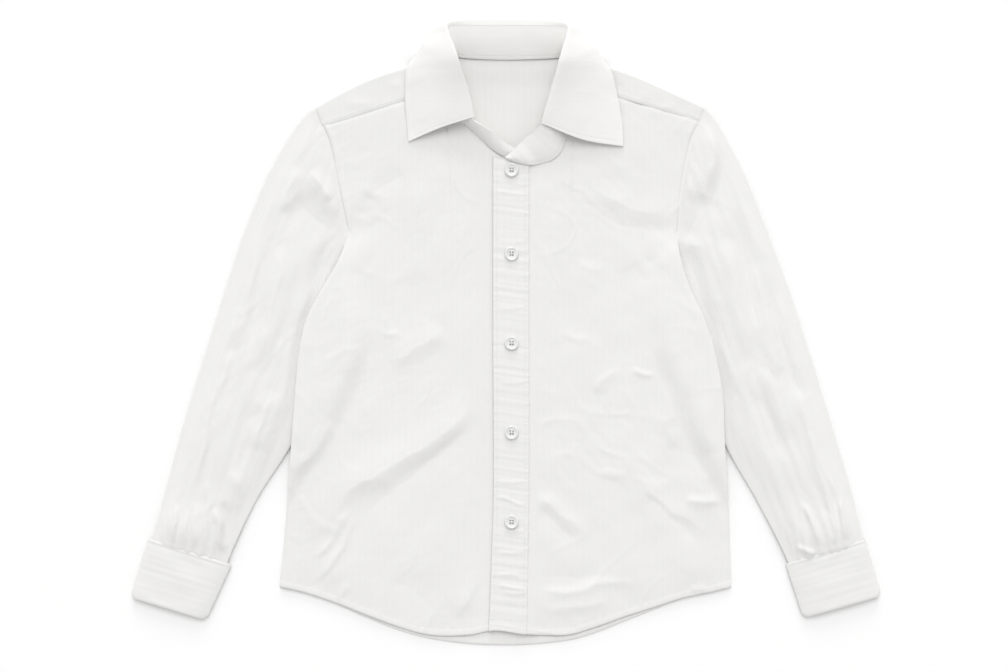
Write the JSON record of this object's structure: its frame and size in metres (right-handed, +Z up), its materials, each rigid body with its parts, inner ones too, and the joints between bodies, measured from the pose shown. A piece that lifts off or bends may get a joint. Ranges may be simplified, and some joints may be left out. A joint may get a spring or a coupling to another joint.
{
  "type": "child's button-up shirt laid flat",
  "caption": "Long-sleeved white cotton button-up shirt with turned-up cuffs and an open collar, lying flat on its back, lightly creased.",
  "frame": {"origin": "on the table, under the middle of the laid shirt's outline", "axes": "+Z up from the table, +Y towards the collar, +X towards the wearer's left sleeve"},
  "size_m": [0.6122, 0.5131, 0.0238],
  "materials": {
    "shirting": "matte cotton with a fine self stripe",
    "collar_cloth": "matte cotton, interlined and pressed",
    "button": "satin pearl"
  },
  "bodies": {
    "root": {"back_body": "shirting", "yoke": "shirting", "front_right": "shirting", "front_left": "shirting", "placket": "shirting", "sleeve_right": "shirting", "sleeve_left": "shirting", "cuff_right": "shirting", "cuff_left": "shirting", "collar_stand": "collar_cloth", "collar_leaf": "collar_cloth", "button_1": "button", "button_2": "button", "button_3": "button", "button_4": "button", "button_5": "button"}
  },
  "joints": []
}
